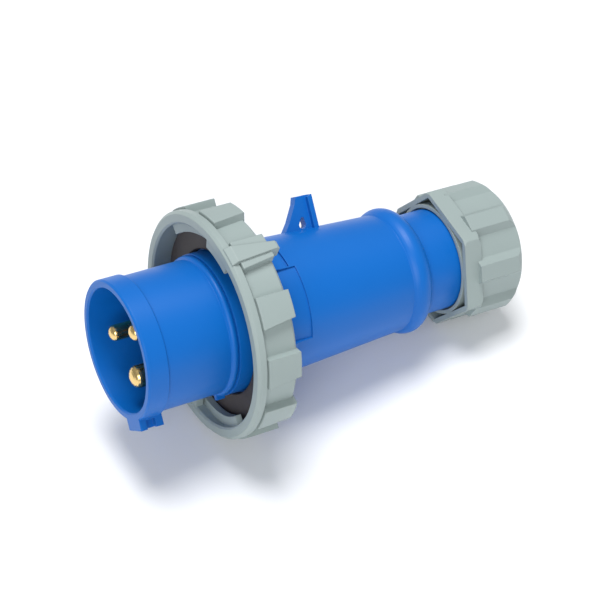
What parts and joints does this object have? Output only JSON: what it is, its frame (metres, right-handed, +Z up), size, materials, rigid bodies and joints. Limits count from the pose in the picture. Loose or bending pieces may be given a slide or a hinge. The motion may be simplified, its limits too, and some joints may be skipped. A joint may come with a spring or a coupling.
{
  "type": "industrial pin and sleeve plug",
  "caption": "Waterproof round three-pin power plug with a bayonet locking ring, a keyed sleeve and a cable gland, lying on its side.",
  "frame": {"origin": "centre of the sleeve's mouth, on the plug's axis", "axes": "+Z up as the plug lies on a floor; +X along the plug from its mouth towards the cable entry, seen from above; the plug's own axis dips 9.725 degrees towards the cable entry, and the hook leans 41.5 degrees back towards +Y"},
  "size_m": [0.1424, 0.073, 0.0743],
  "materials": {
    "blue_plastic": "satin moulded polyamide",
    "grey_plastic": "satin moulded polyamide",
    "black_rubber": "soft matt",
    "brass": "bright turned",
    "steel": "zinc plated",
    "cream_plastic": "matt moulded"
  },
  "bodies": {
    "plug_body": {"sleeve": "blue_plastic", "housing": "blue_plastic", "flange_gasket": "black_rubber", "housing_seal": "black_rubber", "line_pin": "brass", "neutral_pin": "brass", "earth_pin": "brass", "line_screw": "steel", "neutral_screw": "steel", "earth_screw": "steel", "contact_carrier": "cream_plastic", "carrier_screw_1": "steel", "carrier_screw_2": "steel", "clamping_cage": "grey_plastic", "seal_bush": "black_rubber"},
    "ring": {"locking_ring": "grey_plastic"},
    "washer": {"thrust_washer": "cream_plastic"},
    "nut": {"gland_nut": "grey_plastic"}
  },
  "joints": [
    {"name": "ring_turn", "type": "hinge", "parent": "plug_body", "child": "ring", "pos_m": [0.03548, 0, -0.00608], "axis": [0.9856, 0, -0.1689], "range_deg": [-60, 0]},
    {"name": "gland_travel", "type": "slide", "parent": "plug_body", "child": "washer", "axis": [0.9856, 0, -0.1689], "range_m": [0, 0.0045]},
    {"name": "gland_turn", "type": "hinge", "parent": "washer", "child": "nut", "pos_m": [0.12813, 0, -0.02196], "axis": [0.9856, 0, -0.1689], "range_deg": [0, 541]}
  ],
  "couplings": [
    {"joint": "gland_turn", "follows": "gland_travel", "rad_per_m": 2094.4}
  ]
}
